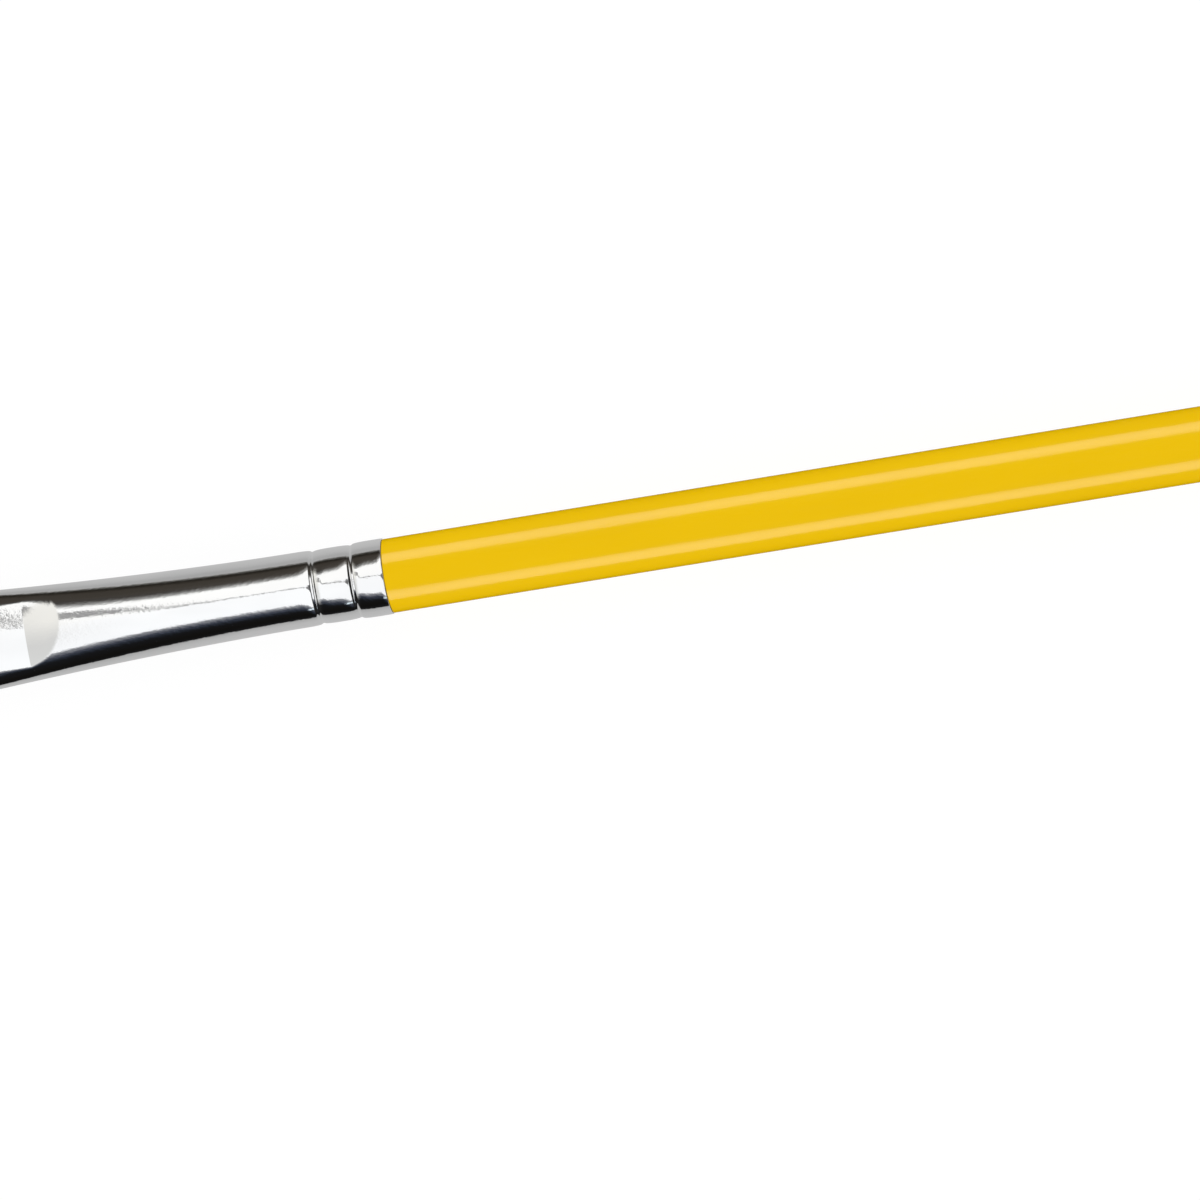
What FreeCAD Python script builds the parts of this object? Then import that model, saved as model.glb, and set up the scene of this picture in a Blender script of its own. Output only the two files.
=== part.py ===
"""Angled eyeshadow brush: a lacquered wooden handle, a plated ferrule and a bound tuft of hair.

The brush lies along X, with the tuft towards -X and the tail towards +X.
The ferrule's flat faces look along +Z and -Z, and its wide way lies along Y.
The origin is on the brush's axis, at the shoulder where the handle meets the ferrule.
All sizes are in millimetres.
"""
import FreeCAD
import Part
import Sketcher

import math
import os

SIZES = {
    # Handle: a straight grip, a long taper and a domed tail, all measured over the lacquer
    "handle_diameter": 7.0,
    "grip_length": 80.0,
    "taper_length": 44.0,
    "tail_diameter": 4.2,
    "lacquer_thickness": 0.15,
    # Tenon: the turned end of the handle that is glued and crimped into the ferrule
    "tenon_length": 12.0,
    "tenon_chamfer": 0.5,
    "glue_gap": 0.15,
    "shoulder_gap": 0.05,
    # Ferrule: a thin tube, round at the handle and pressed to a flat oval at the mouth
    "ferrule_length": 43.0,
    "ferrule_wall": 0.3,
    "ferrule_setback": 0.03,
    "barrel_length": 8.0,
    "mouth_width": 9.8,
    "mouth_height": 3.7,
    # Crimps: two rolled grooves, one set in from each end of the ferrule's round barrel
    "crimp_offset": 2.95,
    "crimp_margin": 0.25,
    "crimp_half_width": 1.1,
    "crimp_depth": 0.16,
    # Pressed flats: the step that the flattening tool leaves on both faces of the ferrule
    "press_length": 8.7,
    "press_entry_thickness": 4.0,
    "press_mouth_thickness": 3.0,
    "ramp_run": 7.0,
    "ramp_rise": 1.85,
    # Hair inside the ferrule: a flat seat, a neck, a round tied end and the resin that locks it
    "seat_setback": 1.3,
    "neck_run": 3.7,
    "thread_diameter": 0.35,
    "thread_pitch": 0.8,
    "tie_clearance": 0.1,
    "root_in_resin": 2.5,
    "resin_length": 5.0,
    # Tuft: the free hair, cut at an angle from a long toe to a short heel
    "toe_length": 14.5,
    "heel_length": 7.5,
    "belly_width": 10.6,
    "belly_thickness": 4.0,
    "tip_thickness": 0.9,
    # Gaps and cuts
    "fit_gap": 0.02,
    "overrun": 1.0,
}

THREAD_TURNS = 3

# Share of a crimp's depth and half width that its tight bottom curve takes
CRIMP_BOTTOM_SHARE = 0.08

# Share of the lacquer's thickness that is rounded off at the shoulder
SHOULDER_ROUND_SHARE = 0.7

# Places of the ferrule's sections, as shares of the way from its round barrel to its mouth
FLARE_SHARES = (0.14, 0.28, 0.42, 0.57, 0.71, 0.86, 1.0)

# How fast the tube widens and flattens along that way
WIDEN_POWER = 1.55
FLATTEN_POWER = 2.0

# Share of the seat's width and height with which the neck starts
NECK_START_SHARE = 0.9

# Tuft sections: share of the way to the cut edge, of the belly's width and of its thickness
TUFT_BODY_SHARES = ((0.3, 1.0, 1.0), (0.6, 0.98, 0.8), (0.85, 0.92, 0.48))
TUFT_TIP_WIDTH_SHARE = 0.8

# Radius of the tight ends of a tuft section, as a share of its half height
OVAL_END_SHARE = 0.6

# Radii on the handle and the ferrule
HANDLE_R = "(sizes.handle_diameter / 2)"
CORE_R = f"({HANDLE_R} - sizes.lacquer_thickness)"
TAIL_R = "(sizes.tail_diameter / 2)"
CORE_TAIL_R = f"({TAIL_R} - sizes.lacquer_thickness)"
FERRULE_R = f"({HANDLE_R} - sizes.ferrule_setback)"
BORE_R = f"({FERRULE_R} - sizes.ferrule_wall)"
TENON_R = f"({BORE_R} - sizes.glue_gap)"

# Places along the axis, from the tail to the tuft
TAPER_END = "(sizes.grip_length + sizes.taper_length)"
FERRULE_REAR = "(-sizes.shoulder_gap)"
FLARE_START = f"({FERRULE_REAR} - sizes.barrel_length)"
MOUTH = f"({FERRULE_REAR} - sizes.ferrule_length)"
PRESS_ENTRY = f"({MOUTH} + sizes.press_length)"
SEAT_END = f"({PRESS_ENTRY} - sizes.seat_setback)"
TIE_FRONT = f"({PRESS_ENTRY} + sizes.neck_run)"
TIE_LENGTH = f"({THREAD_TURNS} * sizes.thread_pitch + 2 * sizes.thread_diameter)"
RESIN_FRONT = f"({TIE_FRONT} + {TIE_LENGTH})"

# Clear space that the hair has between the pressed walls at the mouth
SEAT_INSET = "(sizes.ferrule_wall + sizes.fit_gap)"
SEAT_HALF_WIDTH = f"(sizes.mouth_width / 2 - {SEAT_INSET})"
SEAT_HALF_HEIGHT = f"(sizes.press_mouth_thickness / 2 - {SEAT_INSET})"

doc = FreeCAD.newDocument("eyeshadow_brush")


def fill_sheet():
    """Writes the driving sizes into the document's sheet, each under its own alias."""
    sheet = doc.addObject("Spreadsheet::Sheet", "sizes")
    for row, (name, value) in enumerate(SIZES.items(), start=1):
        sheet.set(f"A{row}", name)
        sheet.set(f"B{row}", str(value))
        sheet.setAlias(f"B{row}", name)
    doc.recompute()


def new_body(name):
    """Adds an empty body under its own label."""
    body = doc.addObject("PartDesign::Body", name)
    body.Label = name
    return body


def new_sketch(body, name, role):
    """Adds a sketch on one of the body's own origin planes."""
    plane = next(f for f in body.Origin.OriginFeatures if f.Role == role)
    sketch = body.newObject("Sketcher::SketchObject", name)
    sketch.AttachmentSupport = [(plane, "")]
    sketch.MapMode = "FlatFace"
    return sketch


def worth(sketch, formula):
    """Works out what a formula comes to now, in millimetres."""
    return float(sketch.evalExpression(formula))


def bind(sketch, kind, places, formula):
    """Adds a dimension to a sketch, ties it to a formula on the sheet and returns its number."""
    index = sketch.addConstraint(Sketcher.Constraint(kind, *places, worth(sketch, formula)))
    sketch.setExpression(f"Constraints[{index}]", formula)
    return index


def arc_between(start, end, radius, side):
    """Makes an arc whose centre lies left (side 1) or right (side -1) of the way from start to end."""
    chord = end - start
    left = FreeCAD.Vector(-chord.y, chord.x, 0).normalize()
    reach = math.sqrt(max(radius**2 - (chord.Length / 2) ** 2, 0))
    centre = (start + end) / 2 + left * (side * reach)
    first, last = (start, end) if side > 0 else (end, start)
    angles = [math.atan2(p.y - centre.y, p.x - centre.x) for p in (first, last)]
    return Part.ArcOfCircle(Part.Circle(centre, FreeCAD.Vector(0, 0, 1), radius), *angles)


def draw_outline(sketch, steps):
    """Draws a closed outline whose corners sit at formulas on the sheet.

    Each step is (across, up, bend): a corner, and the edge from it to the next corner. A bend is None for
    a straight edge, or the arc's radius formula and the side on which its centre lies.
    """
    first = sketch.GeometryCount
    count = len(steps)
    corners = [FreeCAD.Vector(worth(sketch, across), worth(sketch, up), 0) for across, up, _ in steps]
    ends = []
    for i, (_, _, bend) in enumerate(steps):
        start, end = corners[i], corners[(i + 1) % count]
        if bend is None:
            sketch.addGeometry(Part.LineSegment(start, end))
            ends.append((1, 2))
        else:
            radius, side = bend
            sketch.addGeometry(arc_between(start, end, worth(sketch, radius), side))
            ends.append((1, 2) if side > 0 else (2, 1))
    for i, (across, up, bend) in enumerate(steps):
        edge, follower = first + i, first + (i + 1) % count
        next_start = ends[(i + 1) % count][0]
        sketch.addConstraint(Sketcher.Constraint("Coincident", edge, ends[i][1], follower, next_start))
        bind(sketch, "DistanceX", (-1, 1, edge, ends[i][0]), across)
        bind(sketch, "DistanceY", (-1, 1, edge, ends[i][0]), up)
        if bend is not None:
            bind(sketch, "Radius", (edge,), bend[0])


def backwards(steps):
    """Turns an open line of steps round, so that it is drawn from its far end."""
    bends = [bend and (bend[0], -bend[1]) for _, _, bend in steps]
    return [
        (across, up, bends[i - 1] if i > 0 else None)
        for i, (across, up, _) in reversed(list(enumerate(steps)))
    ]


def turn(body, name, steps):
    """Revolves an outline, drawn with X across and the radius up, about the brush's axis."""
    sketch = new_sketch(body, f"{name}_outline", "XZ_Plane")
    draw_outline(sketch, steps)
    solid = body.newObject("PartDesign::Revolution", name)
    solid.Profile = sketch
    solid.ReferenceAxis = (sketch, ["H_Axis"])
    solid.Angle = 360
    return solid


def cross_sketch(body, name, place, tilt="0"):
    """Adds a sketch across the axis at a place on it, turned about Z by the tilt that a formula gives.

    It starts with a turn of one degree, because a turn of none would lose its axis.
    """
    sketch = new_sketch(body, name, "YZ_Plane")
    turned = FreeCAD.Rotation(FreeCAD.Vector(0, 1, 0), 1)
    sketch.AttachmentOffset = FreeCAD.Placement(FreeCAD.Vector(), turned)
    sketch.setExpression("AttachmentOffset.Base.z", place)
    sketch.setExpression("AttachmentOffset.Rotation.Angle", tilt)
    return sketch


def oval_section(body, name, place, half_width, half_height):
    """Draws an ellipse across the axis."""
    sketch = cross_sketch(body, name, place)
    across, up = worth(sketch, half_width), worth(sketch, half_height)
    oval = sketch.addGeometry(Part.Ellipse(FreeCAD.Vector(), across, up))
    sketch.exposeInternalGeometry(oval)
    major, minor = oval + 1, oval + 2
    sketch.addConstraint(Sketcher.Constraint("Coincident", oval, 3, -1, 1))
    sketch.addConstraint(Sketcher.Constraint("Horizontal", major))
    bind(sketch, "Distance", (major,), f"2 * {half_width}")
    bind(sketch, "Distance", (minor,), f"2 * {half_height}")
    return sketch


def arc_oval_section(body, name, place, half_width, half_height, tilt):
    """Draws an oval of four arcs across the axis: two tight ends and two long sides that meet smoothly.

    With the half width a, the half height b and the ends' radius r, the sides' radius R is
    ((a - r)^2 + b^2 - r^2) / 2(b - r). An end meets a side at (a - r) R / (R - r) across and
    r (R - b) / (R - r) up.
    """
    sketch = cross_sketch(body, name, place, tilt)
    spans = (
        ("half_width", half_width, FreeCAD.Vector(1, 0, 0), "DistanceX", -1),
        ("half_height", half_height, FreeCAD.Vector(0, 1, 0), "DistanceY", -2),
    )
    for label, formula, way, kind, axis in spans:
        line = sketch.addGeometry(Part.LineSegment(FreeCAD.Vector(), way * worth(sketch, formula)), True)
        sketch.addConstraint(Sketcher.Constraint("Coincident", line, 1, -1, 1))
        sketch.addConstraint(Sketcher.Constraint("PointOnObject", line, 2, axis))
        sketch.renameConstraint(bind(sketch, kind, (line, 1, line, 2), formula), label)
    wide, tall = "Constraints.half_width", "Constraints.half_height"
    end = f"({OVAL_END_SHARE} * {tall})"
    side = f"((({wide} - {end}) ^ 2 + {tall} ^ 2 - {end} ^ 2) / (2 * ({tall} - {end})))"
    across = f"(({wide} - {end}) * {side} / ({side} - {end}))"
    up = f"({end} * ({side} - {tall}) / ({side} - {end}))"
    steps = [
        (across, f"-{up}", (end, 1)),
        (across, up, (side, 1)),
        (f"-{across}", up, (end, 1)),
        (f"-{across}", f"-{up}", (side, 1)),
    ]
    draw_outline(sketch, steps)
    return sketch


def round_section(body, name, place, radius):
    """Draws a circle across the axis."""
    sketch = cross_sketch(body, name, place)
    circle = Part.Circle(FreeCAD.Vector(), FreeCAD.Vector(0, 0, 1), worth(sketch, radius))
    ring = sketch.addGeometry(circle)
    sketch.addConstraint(Sketcher.Constraint("Coincident", ring, 3, -1, 1))
    bind(sketch, "Radius", (ring,), radius)
    return sketch


def loft(body, name, sections):
    """Joins sections along the axis with one smooth skin."""
    solid = body.newObject("PartDesign::AdditiveLoft", name)
    solid.Profile = sections[0]
    solid.Sections = sections[1:]
    return solid


def slab(name, start, length):
    """Makes a block wider than the ferrule between two places on the axis."""
    block = doc.addObject("Part::Box", name)
    side = "(sizes.mouth_width + sizes.handle_diameter)"
    block.setExpression("Length", length)
    block.setExpression("Width", side)
    block.setExpression("Height", side)
    block.setExpression("Placement.Base.x", start)
    block.setExpression("Placement.Base.y", f"-{side} / 2")
    block.setExpression("Placement.Base.z", f"-{side} / 2")
    return block


def combine(kind, name, base, tool):
    """Adds a boolean of two objects under its own label."""
    result = doc.addObject(kind, name)
    result.Label = name
    result.Base = base
    result.Tool = tool
    return result


def crimp_line(radius):
    """Follows the two crimps along a tube or tenon of the given radius, from front to rear.

    Each groove is three arcs that run smoothly into each other: a wide shoulder, a tight bottom and the
    other shoulder. Two arcs that turn opposite ways share half the groove's width w and depth d when their
    radii add up to (w^2 + d^2) / 2d.
    """
    share = CRIMP_BOTTOM_SHARE
    width, depth = "sizes.crimp_half_width", "sizes.crimp_depth"
    radii = f"(({width} ^ 2 + {depth} ^ 2) / (2 * {depth}))"
    bottom, shoulder = (f"({share} * {radii})", 1), (f"({1 - share} * {radii})", -1)
    inner = f"({radius} - {1 - share} * {depth})"
    front_crimp = f"({FLARE_START} + sizes.crimp_margin + {width})"
    rear_crimp = f"({FERRULE_REAR} - sizes.crimp_offset)"
    steps = []
    for middle in (front_crimp, rear_crimp):
        steps += [
            (f"({middle} - {width})", radius, shoulder),
            (f"({middle} - {share} * {width})", inner, bottom),
            (f"({middle} + {share} * {width})", inner, shoulder),
            (f"({middle} + {width})", radius, None),
        ]
    return steps


def handle_line(radius, tail_radius):
    """Follows the handle's side from the end of the grip over the taper and the domed tail to the axis.

    The taper is one arc that leaves the grip smoothly: over a length l it drops by d on a radius of
    (l^2 + d^2) / 2d.
    """
    drop = f"({radius} - {tail_radius})"
    sweep = f"((sizes.taper_length ^ 2 + {drop} ^ 2) / (2 * {drop}))"
    return [
        ("sizes.grip_length", radius, (sweep, -1)),
        (TAPER_END, tail_radius, (tail_radius, -1)),
        (f"({TAPER_END} + {tail_radius})", "0", None),
    ]


def handle_core():
    """Turned wooden handle with its crimped tenon."""
    body = new_body("handle_core")
    front = "(-sizes.tenon_length)"
    steps = [
        (front, "0", None),
        (front, f"({TENON_R} - sizes.tenon_chamfer)", None),
        (f"({front} + sizes.tenon_chamfer)", TENON_R, None),
        *crimp_line(TENON_R),
        ("0", TENON_R, None),
        ("0", CORE_R, None),
        *handle_line(CORE_R, CORE_TAIL_R),
    ]
    turn(body, "turned_wood", steps)
    return body


def handle_lacquer():
    """Coat of lacquer over the handle, rounded where it ends at the shoulder."""
    body = new_body("handle_lacquer")
    edge = f"({SHOULDER_ROUND_SHARE} * sizes.lacquer_thickness)"
    steps = [
        ("0", CORE_R, None),
        ("0", f"({HANDLE_R} - {edge})", (edge, -1)),
        (edge, HANDLE_R, None),
        *handle_line(HANDLE_R, TAIL_R),
        *backwards(handle_line(CORE_R, CORE_TAIL_R)),
    ]
    turn(body, "coat", steps)
    return body


def tenon_glue():
    """Film of glue between the tenon and the ferrule's round barrel."""
    body = new_body("tenon_glue")
    outer = f"({BORE_R} - sizes.fit_gap)"
    inner = f"({TENON_R} + sizes.fit_gap)"
    steps = [
        (FLARE_START, inner, None),
        (FLARE_START, outer, None),
        *crimp_line(outer),
        (FERRULE_REAR, outer, None),
        (FERRULE_REAR, inner, None),
        *backwards(crimp_line(inner)),
    ]
    turn(body, "film", steps)
    return body


def flare_half_height(share):
    """Formula of the tube's half height at a share of the way from its round barrel to its mouth."""
    return f"({FERRULE_R} - ({FERRULE_R} - sizes.mouth_height / 2) * {share} ^ {FLATTEN_POWER})"


def flare_half_width(share):
    """Formula of the tube's half width at a share of the way from its round barrel to its mouth."""
    return f"({FERRULE_R} + (sizes.mouth_width / 2 - {FERRULE_R}) * {share} ^ {WIDEN_POWER})"


def press_cut(body, name, inset):
    """Presses both faces of a tube form flat towards the mouth, with a sloped step at the rear."""
    sketch = new_sketch(body, f"{name}_outline", "XZ_Plane")
    entry = f"(sizes.press_entry_thickness / 2 - {inset})"
    mouth = f"(sizes.press_mouth_thickness / 2 - {inset})"
    beyond = f"({MOUTH} - sizes.overrun)"
    ramp_end = f"({PRESS_ENTRY} + sizes.ramp_run)"
    above = f"({entry} + sizes.ramp_rise + sizes.overrun)"
    line = [
        (beyond, mouth),
        (MOUTH, mouth),
        (PRESS_ENTRY, entry),
        (ramp_end, f"({entry} + sizes.ramp_rise)"),
        (ramp_end, above),
        (beyond, above),
    ]
    for face in ("1", "(-1)"):
        draw_outline(sketch, [(across, f"({face} * {up})", None) for across, up in line])
    cut = body.newObject("PartDesign::Pocket", name)
    cut.Profile = sketch
    cut.SideType = "Symmetric"
    cut.Type = "ThroughAll"
    return cut


def tube_form(name, inset):
    """Solid form of the ferrule, its surface moved in by an inset: barrel, flare and pressed flats."""
    body = new_body(name)
    radius = f"({FERRULE_R} - {inset})"
    steps = [
        (FLARE_START, "0", None),
        (FLARE_START, radius, None),
        *crimp_line(radius),
        (FERRULE_REAR, radius, None),
        (FERRULE_REAR, "0", None),
    ]
    turn(body, f"{name}_barrel", steps)
    sections = [round_section(body, f"{name}_section_0", FLARE_START, radius)]
    for number, share in enumerate(FLARE_SHARES, start=1):
        place = f"({FLARE_START} + {share} * ({MOUTH} - {FLARE_START}))"
        half_width = f"({flare_half_width(share)} - {inset})"
        half_height = f"({flare_half_height(share)} - {inset})"
        sections.append(oval_section(body, f"{name}_section_{number}", place, half_width, half_height))
    flare = loft(body, f"{name}_flare", sections)
    doc.recompute()
    full = flare.Shape.Volume
    cut = press_cut(body, f"{name}_flats", inset)
    doc.recompute()
    print(f"{name}: the flats take {full - cut.Shape.Volume:.2f} of {full:.1f} mm3")
    return body


def ferrule():
    """Plated tube: its outer form less its bore."""
    outer = tube_form("ferrule_outside", "0")
    bore = tube_form("ferrule_bore", "sizes.ferrule_wall")
    return combine("Part::Cut", "ferrule", outer, bore)


def tie_radius():
    """Formula of the tied hair's radius: what the tube leaves inside, less the thread round it."""
    share = f"(({FLARE_START} - {TIE_FRONT}) / ({FLARE_START} - {MOUTH}))"
    ramp = "(sizes.press_entry_thickness / 2 + sizes.neck_run * sizes.ramp_rise / sizes.ramp_run)"
    inside = f"(min({flare_half_height(share)}; {ramp}) - {SEAT_INSET})"
    return f"({inside} - sizes.tie_clearance - sizes.thread_diameter - sizes.fit_gap)"


def tuft_root(fill):
    """Hair inside the ferrule: it fills the mouth, then draws in to a round end that is tied."""
    seat_length = f"({SEAT_END} - {MOUTH})"
    seat = combine("Part::Common", "hair_seat", fill, slab("seat_slab", MOUTH, seat_length))
    neck = new_body("hair_neck")
    start = f"({SEAT_END} - sizes.overrun)"
    half_width = f"({NECK_START_SHARE} * {SEAT_HALF_WIDTH})"
    half_height = f"({NECK_START_SHARE} * {SEAT_HALF_HEIGHT})"
    tie = round_section(neck, "neck_end", TIE_FRONT, tie_radius())
    loft(neck, "neck", [oval_section(neck, "neck_start", start, half_width, half_height), tie])
    end = neck.newObject("PartDesign::Pad", "tied_end")
    end.Profile = tie
    end.setExpression("Length", f"{TIE_LENGTH} + sizes.root_in_resin")
    return combine("Part::Fuse", "tuft_root", seat, neck)


def binding_thread():
    """Thread wound in open turns round the tied end of the hair."""
    body = new_body("binding_thread")
    sketch = new_sketch(body, "thread_section", "XZ_Plane")
    start = f"({TIE_FRONT} + sizes.thread_diameter)"
    radius = f"({tie_radius()} + sizes.fit_gap + sizes.thread_diameter / 2)"
    middle = FreeCAD.Vector(worth(sketch, start), worth(sketch, radius), 0)
    thread = SIZES["thread_diameter"] / 2
    ring = sketch.addGeometry(Part.Circle(middle, FreeCAD.Vector(0, 0, 1), thread))
    bind(sketch, "DistanceX", (-1, 1, ring, 3), start)
    bind(sketch, "DistanceY", (-1, 1, ring, 3), radius)
    bind(sketch, "Radius", (ring,), "sizes.thread_diameter / 2")
    winding = body.newObject("PartDesign::AdditiveHelix", "winding")
    winding.Profile = sketch
    winding.ReferenceAxis = (sketch, ["H_Axis"])
    winding.Mode = "pitch-turns-angle"
    winding.Turns = THREAD_TURNS
    winding.Angle = 0
    winding.setExpression("Pitch", "sizes.thread_pitch")
    print(f"binding_thread: least gap to itself {least_gap(middle.y):.2f} mm")
    return body


def least_gap(radius):
    """Measures the free space between turns of the thread on points along its middle line."""
    steps_per_turn = 48
    points = []
    for step in range(THREAD_TURNS * steps_per_turn + 1):
        angle = 2 * math.pi * step / steps_per_turn
        along = SIZES["thread_pitch"] * step / steps_per_turn
        points.append(FreeCAD.Vector(along, radius * math.cos(angle), radius * math.sin(angle)))
    apart = steps_per_turn // 2
    nearest = min(p.distanceToPoint(q) for i, p in enumerate(points) for q in points[i + apart :])
    return nearest - SIZES["thread_diameter"]


def resin_plug(fill):
    """Resin cast behind the binding, with the pocket in which the hair's end is locked."""
    cast = slab("resin_slab", RESIN_FRONT, "sizes.resin_length")
    block = combine("Part::Common", "resin_block", fill, cast)
    pocket = doc.addObject("Part::Cylinder", "root_pocket")
    pocket.Placement.Rotation = FreeCAD.Rotation(FreeCAD.Vector(0, 1, 0), 90)
    pocket.setExpression("Radius", f"{tie_radius()} + sizes.fit_gap")
    pocket.setExpression("Height", "sizes.overrun + sizes.root_in_resin + sizes.fit_gap")
    pocket.setExpression("Placement.Base.x", f"{RESIN_FRONT} - sizes.overrun")
    return combine("Part::Cut", "resin_plug", block, pocket)


def tuft():
    """Free hair: it swells from the mouth to a belly and thins to an edge cut from toe to heel.

    Each section's plane leans further than the one before, so that it reaches the same share of the toe's
    length at one side as of the heel's length at the other.
    """
    body = new_body("tuft")
    tip_share = "(sizes.tip_thickness / sizes.belly_thickness)"
    sections = [arc_oval_section(body, "tuft_section_0", MOUTH, SEAT_HALF_WIDTH, SEAT_HALF_HEIGHT, "0")]
    stations = (*TUFT_BODY_SHARES, (1.0, TUFT_TIP_WIDTH_SHARE, tip_share))
    for number, (way, width, thickness) in enumerate(stations, start=1):
        place = f"({MOUTH} - {way} * (sizes.toe_length + sizes.heel_length) / 2)"
        lean = f"({way} * (sizes.toe_length - sizes.heel_length) / sizes.belly_width)"
        half_width = f"({width} * sizes.belly_width / 2 * sqrt(1 + {lean} ^ 2))"
        half_height = f"({thickness} * sizes.belly_thickness / 2)"
        name = f"tuft_section_{number}"
        sections.append(arc_oval_section(body, name, place, half_width, half_height, f"-atan({lean})"))
    loft(body, "hair", sections)
    return body


def write_pieces(pieces):
    """Checks every object and each piece, then writes one file for each piece."""
    doc.recompute()
    for item in doc.Objects:
        if "Invalid" in item.State or "Error" in item.State:
            raise RuntimeError(f"{item.Label} failed: {item.State}")
    for piece in pieces:
        shape = piece.Shape
        if shape.isNull() or not shape.isValid():
            raise RuntimeError(f"{piece.Label} has no valid shape")
        print(f"{piece.Label}: {len(shape.Solids)} solid, {shape.Volume:.3f} mm3")
    os.makedirs("parts", exist_ok=True)
    for piece in pieces:
        piece.Shape.exportStep(f"parts/{piece.Label}.step")


fill_sheet()
hair_space = tube_form("hair_space", SEAT_INSET)
write_pieces(
    [
        handle_core(),
        handle_lacquer(),
        tenon_glue(),
        ferrule(),
        tuft_root(hair_space),
        binding_thread(),
        resin_plug(hair_space),
        tuft(),
    ]
)
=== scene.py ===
"""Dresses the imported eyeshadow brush: plated ferrule, lacquered handle, loose hair and their studio."""

import logging
import math
from dataclasses import dataclass, field
from enum import Enum
from itertools import product

import bmesh
import bpy
import numpy as np
from mathutils import Matrix, Vector

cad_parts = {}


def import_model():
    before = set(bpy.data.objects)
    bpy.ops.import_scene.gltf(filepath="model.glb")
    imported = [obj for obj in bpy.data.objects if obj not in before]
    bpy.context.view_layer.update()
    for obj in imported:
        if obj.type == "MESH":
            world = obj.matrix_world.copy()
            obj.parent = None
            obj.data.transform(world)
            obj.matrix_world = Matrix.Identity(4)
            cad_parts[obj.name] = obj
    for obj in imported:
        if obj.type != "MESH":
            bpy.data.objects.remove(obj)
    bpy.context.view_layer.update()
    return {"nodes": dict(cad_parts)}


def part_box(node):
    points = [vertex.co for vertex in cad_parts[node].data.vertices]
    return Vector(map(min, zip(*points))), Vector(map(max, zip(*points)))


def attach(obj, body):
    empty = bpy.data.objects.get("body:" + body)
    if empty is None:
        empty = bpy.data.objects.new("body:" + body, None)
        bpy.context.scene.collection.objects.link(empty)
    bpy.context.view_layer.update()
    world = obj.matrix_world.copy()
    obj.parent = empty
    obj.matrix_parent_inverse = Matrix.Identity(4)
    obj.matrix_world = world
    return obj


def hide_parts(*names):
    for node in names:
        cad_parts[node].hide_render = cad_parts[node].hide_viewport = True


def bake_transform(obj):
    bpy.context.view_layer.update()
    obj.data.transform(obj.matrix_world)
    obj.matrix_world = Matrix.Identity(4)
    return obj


log = logging.getLogger("brush")

MM = 0.001
"""Metres in a millimetre, which the pieces' sizes below are in."""

Array = np.ndarray
Object = bpy.types.Object
Material = bpy.types.Material
Socket = bpy.types.NodeSocket
Colour = tuple[float, float, float]
Span = tuple[float, float]
Step = tuple[float, float, float, float]
Stops = tuple[tuple[float, Colour], ...]


class Body(Enum):
    """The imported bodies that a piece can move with."""

    BRUSH = "brush"
    TUFT = "tuft_hair"


class Slot(Enum):
    """The record's material slots."""

    WOOD = "birch_wood"
    LACQUER = "yellow_lacquer"
    RESIN = "amber_resin"
    PLATE = "plated_metal"
    HAIR = "brown_hair"
    THREAD = "cotton_thread"


# Shader maths


class Value:
    """A socket of a node tree that takes part in Python arithmetic by adding Math nodes."""

    def __init__(self, graph: "Graph", socket: Socket) -> None:
        """Keeps the tree and the socket."""
        self.graph = graph
        self.socket = socket

    def __add__(self, other: "Value | float") -> "Value":
        """Sum of this and another value."""
        return self.graph.math("ADD", self, other)

    def __radd__(self, other: float) -> "Value":
        """Sum of a number and this value."""
        return self.graph.math("ADD", other, self)

    def __sub__(self, other: "Value | float") -> "Value":
        """This value less another."""
        return self.graph.math("SUBTRACT", self, other)

    def __rsub__(self, other: float) -> "Value":
        """A number less this value."""
        return self.graph.math("SUBTRACT", other, self)

    def __mul__(self, other: "Value | float") -> "Value":
        """Product of this and another value."""
        return self.graph.math("MULTIPLY", self, other)

    def __rmul__(self, other: float) -> "Value":
        """Product of a number and this value."""
        return self.graph.math("MULTIPLY", other, self)

    def __truediv__(self, other: "Value | float") -> "Value":
        """This value over another."""
        return self.graph.math("DIVIDE", self, other)

    def ramp(self, low: float, high: float, start: float = 0.0, end: float = 1.0) -> "Value":
        """Smooth step from start to end while this value goes from low to high, level outside of that."""
        feeds = {0: self, 1: low, 2: high, 3: start, 4: end}
        return self.graph.value("ShaderNodeMapRange", "Result", feeds, {"interpolation_type": "SMOOTHSTEP"})


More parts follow.
